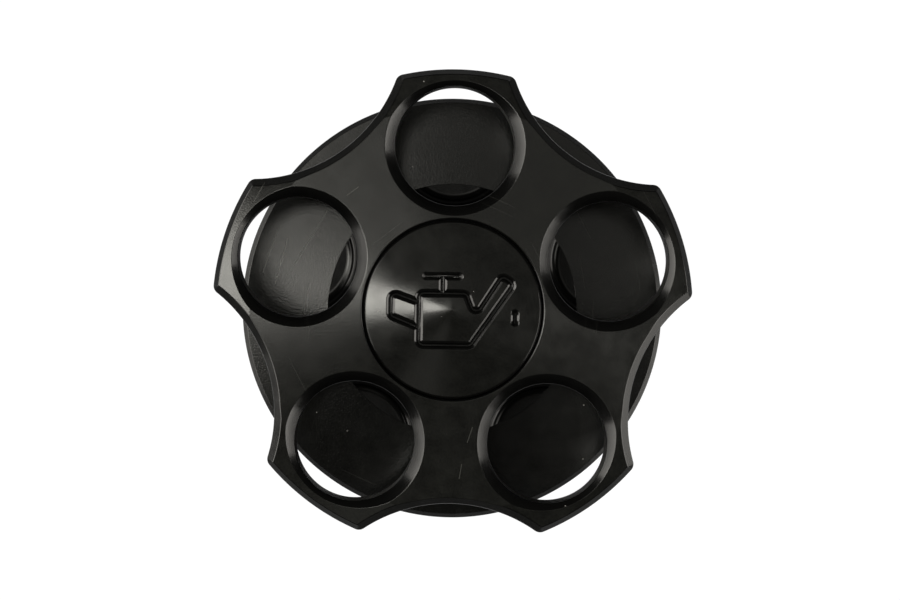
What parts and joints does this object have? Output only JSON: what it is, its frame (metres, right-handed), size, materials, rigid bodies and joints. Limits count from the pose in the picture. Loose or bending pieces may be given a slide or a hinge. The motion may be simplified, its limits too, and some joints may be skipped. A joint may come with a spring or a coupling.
{
  "type": "oil filler cap",
  "caption": "Billet oil filler cap: lobed finger grip with round holes, screwed to a flanged and threaded base with a rubber seal; a round engraved badge hides the screws.",
  "frame": {"origin": "centre of the seat face under the flange", "axes": "+Z along the cap's axis from the seat face up to the grip, +Y through the first lobe and its finger hole"},
  "size_m": [0.0648, 0.0627, 0.035],
  "materials": {
    "satin_anodised": "satin black anodised, milled and turned",
    "badge_anodised": "satin black anodised, finely turned",
    "rubber": "smooth moulded rubber",
    "black_steel": "blackened steel"
  },
  "bodies": {
    "root": {"star_knob": "satin_anodised", "badge": "badge_anodised", "badge_o_ring": "rubber", "clamp_screws": "black_steel", "spring_washers": "black_steel", "threaded_base": "satin_anodised", "seal_o_ring": "rubber"}
  },
  "joints": []
}
